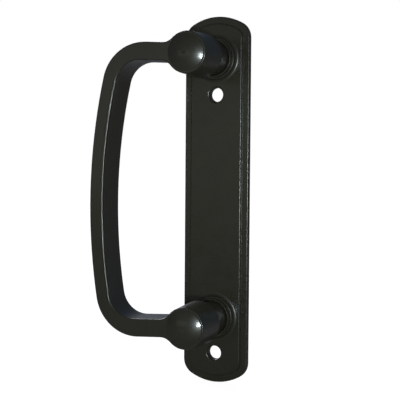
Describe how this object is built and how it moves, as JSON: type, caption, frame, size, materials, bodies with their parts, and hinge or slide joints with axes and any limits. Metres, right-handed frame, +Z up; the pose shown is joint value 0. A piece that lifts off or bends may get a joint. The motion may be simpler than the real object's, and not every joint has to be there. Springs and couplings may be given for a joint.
{
  "type": "sliding patio door handle",
  "caption": "Rigid D-shaped pull on two round posts with stepped collars, standing on a long round-ended plate with fixing holes for a sliding door.",
  "frame": {"origin": "midway between the two door-fixing holes, on the plate's back face, which lies on the door", "axes": "+X across the plate, away from the grip; +Y into the door; +Z up the door"},
  "size_m": [0.0869, 0.0589, 0.2385],
  "materials": {
    "bronze_paint": "satin dark bronze paint on die-cast zinc",
    "zinc_plated_steel": "bright zinc plate"
  },
  "bodies": {
    "root": {"escutcheon_plate": "bronze_paint", "pull_grip": "bronze_paint", "upper_post": "bronze_paint", "lower_post": "bronze_paint", "upper_collar": "bronze_paint", "lower_collar": "bronze_paint", "grip_screws": "zinc_plated_steel"}
  },
  "joints": []
}
